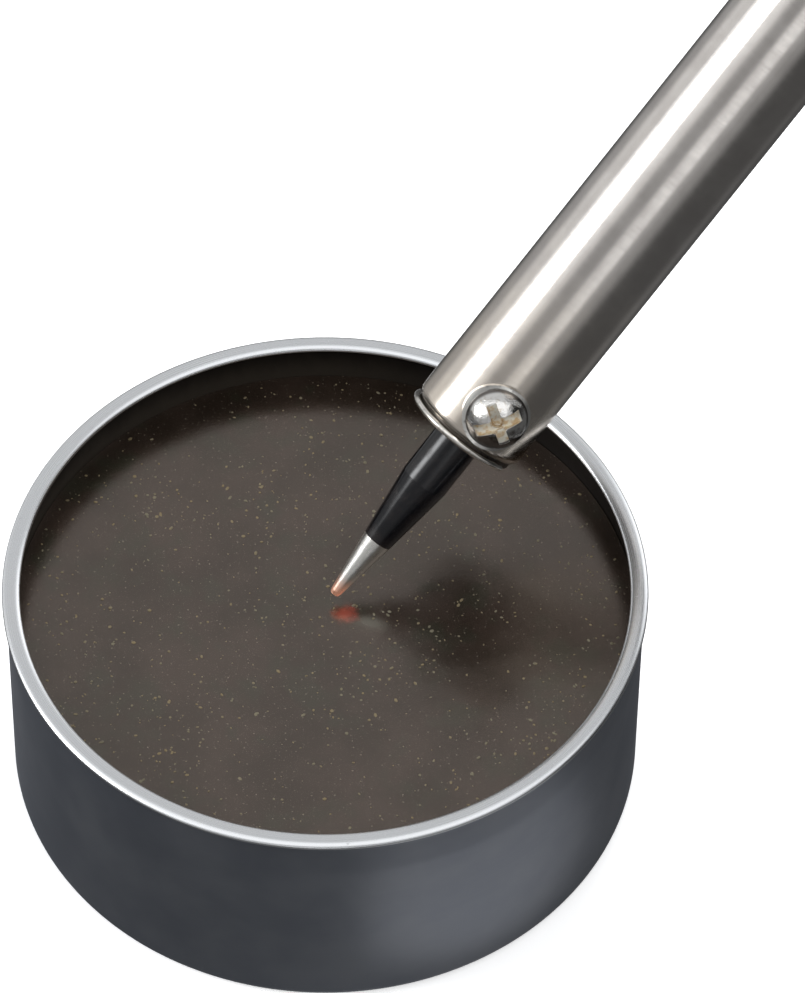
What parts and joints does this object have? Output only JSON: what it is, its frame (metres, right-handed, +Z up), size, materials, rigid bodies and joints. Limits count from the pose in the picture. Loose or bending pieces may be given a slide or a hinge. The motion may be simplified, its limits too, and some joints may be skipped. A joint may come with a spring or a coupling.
{
  "type": "soldering iron with tip tinner",
  "caption": "Pencil soldering iron with a steel barrel and a black tapered tip, leaning with its tip just above the compound in a round open aluminium tin.",
  "frame": {"origin": "centre of the tin's flat base, on the surface the tin stands on", "axes": "+Z up; the iron leans 41.6 degrees above the table, heading 36.2 degrees from +X towards +Y"},
  "size_m": [0.1399, 0.112, 0.1421],
  "materials": {
    "tin_aluminium": "satin blue-grey wall with a bright rolled rim",
    "compound": "dark hard tinning compound with fine pale metal flecks",
    "black_tip": "gloss black shank with a bright tinned cone",
    "nose_steel": "turned steel",
    "bright_steel": "bright spring steel",
    "barrel_steel": "polished and finely brushed stainless steel",
    "screw_chrome": "bright nickel plating",
    "mica": "layered mica",
    "winding": "drawn resistance wire",
    "ceramic": "unglazed steatite",
    "zinc_plate": "bright zinc plating",
    "handle_plastic": "fine-grained moulded plastic",
    "grip_rubber": "matt moulded rubber",
    "nylon": "natural nylon",
    "brass_terminal": "turned brass"
  },
  "bodies": {
    "tin": {"tin_can": "tin_aluminium", "tinning_compound": "compound"},
    "iron": {"nose_plug": "nose_steel", "nose_ring": "bright_steel", "barrel": "barrel_steel", "heater_tube": "nose_steel", "mica_wrap": "mica", "heating_coil": "winding", "ceramic_sleeve": "ceramic", "rear_disc": "ceramic", "lead_wires": "winding", "lead_beads": "ceramic", "mounting_flange": "zinc_plate", "flange_screws": "zinc_plate", "heat_guard": "handle_plastic", "handle_shell": "handle_plastic", "grip_sleeve": "grip_rubber", "terminal_block": "nylon", "terminal_screws": "brass_terminal", "rear_cap": "handle_plastic", "cap_screw": "zinc_plate", "cord_clamp": "nylon", "clamp_screws": "zinc_plate", "cord_bush": "grip_rubber"},
    "tip": {"tip": "black_tip"},
    "washer": {"screw_washer": "screw_chrome"},
    "screw": {"tip_screw": "screw_chrome"}
  },
  "joints": [
    {"name": "iron_lift", "type": "slide", "parent": "tin", "child": "iron", "axis": [0.6034, 0.4417, 0.6639], "range_m": [0, 0.06]},
    {"name": "tip_slide", "type": "slide", "parent": "iron", "child": "tip", "axis": [0.6034, 0.4417, 0.6639], "range_m": [0, 0.008]},
    {"name": "screw_back_out", "type": "slide", "parent": "iron", "child": "washer", "axis": [0.0527, -0.8529, 0.5195], "range_m": [0, 0.00135]},
    {"name": "screw_turn", "type": "hinge", "parent": "washer", "child": "screw", "pos_m": [0.01331, 0.01056, 0.03203], "axis": [0.0527, -0.8529, 0.5195], "range_deg": [0, 1080]}
  ],
  "couplings": [
    {"joint": "screw_turn", "follows": "screw_back_out", "rad_per_m": 13963}
  ]
}
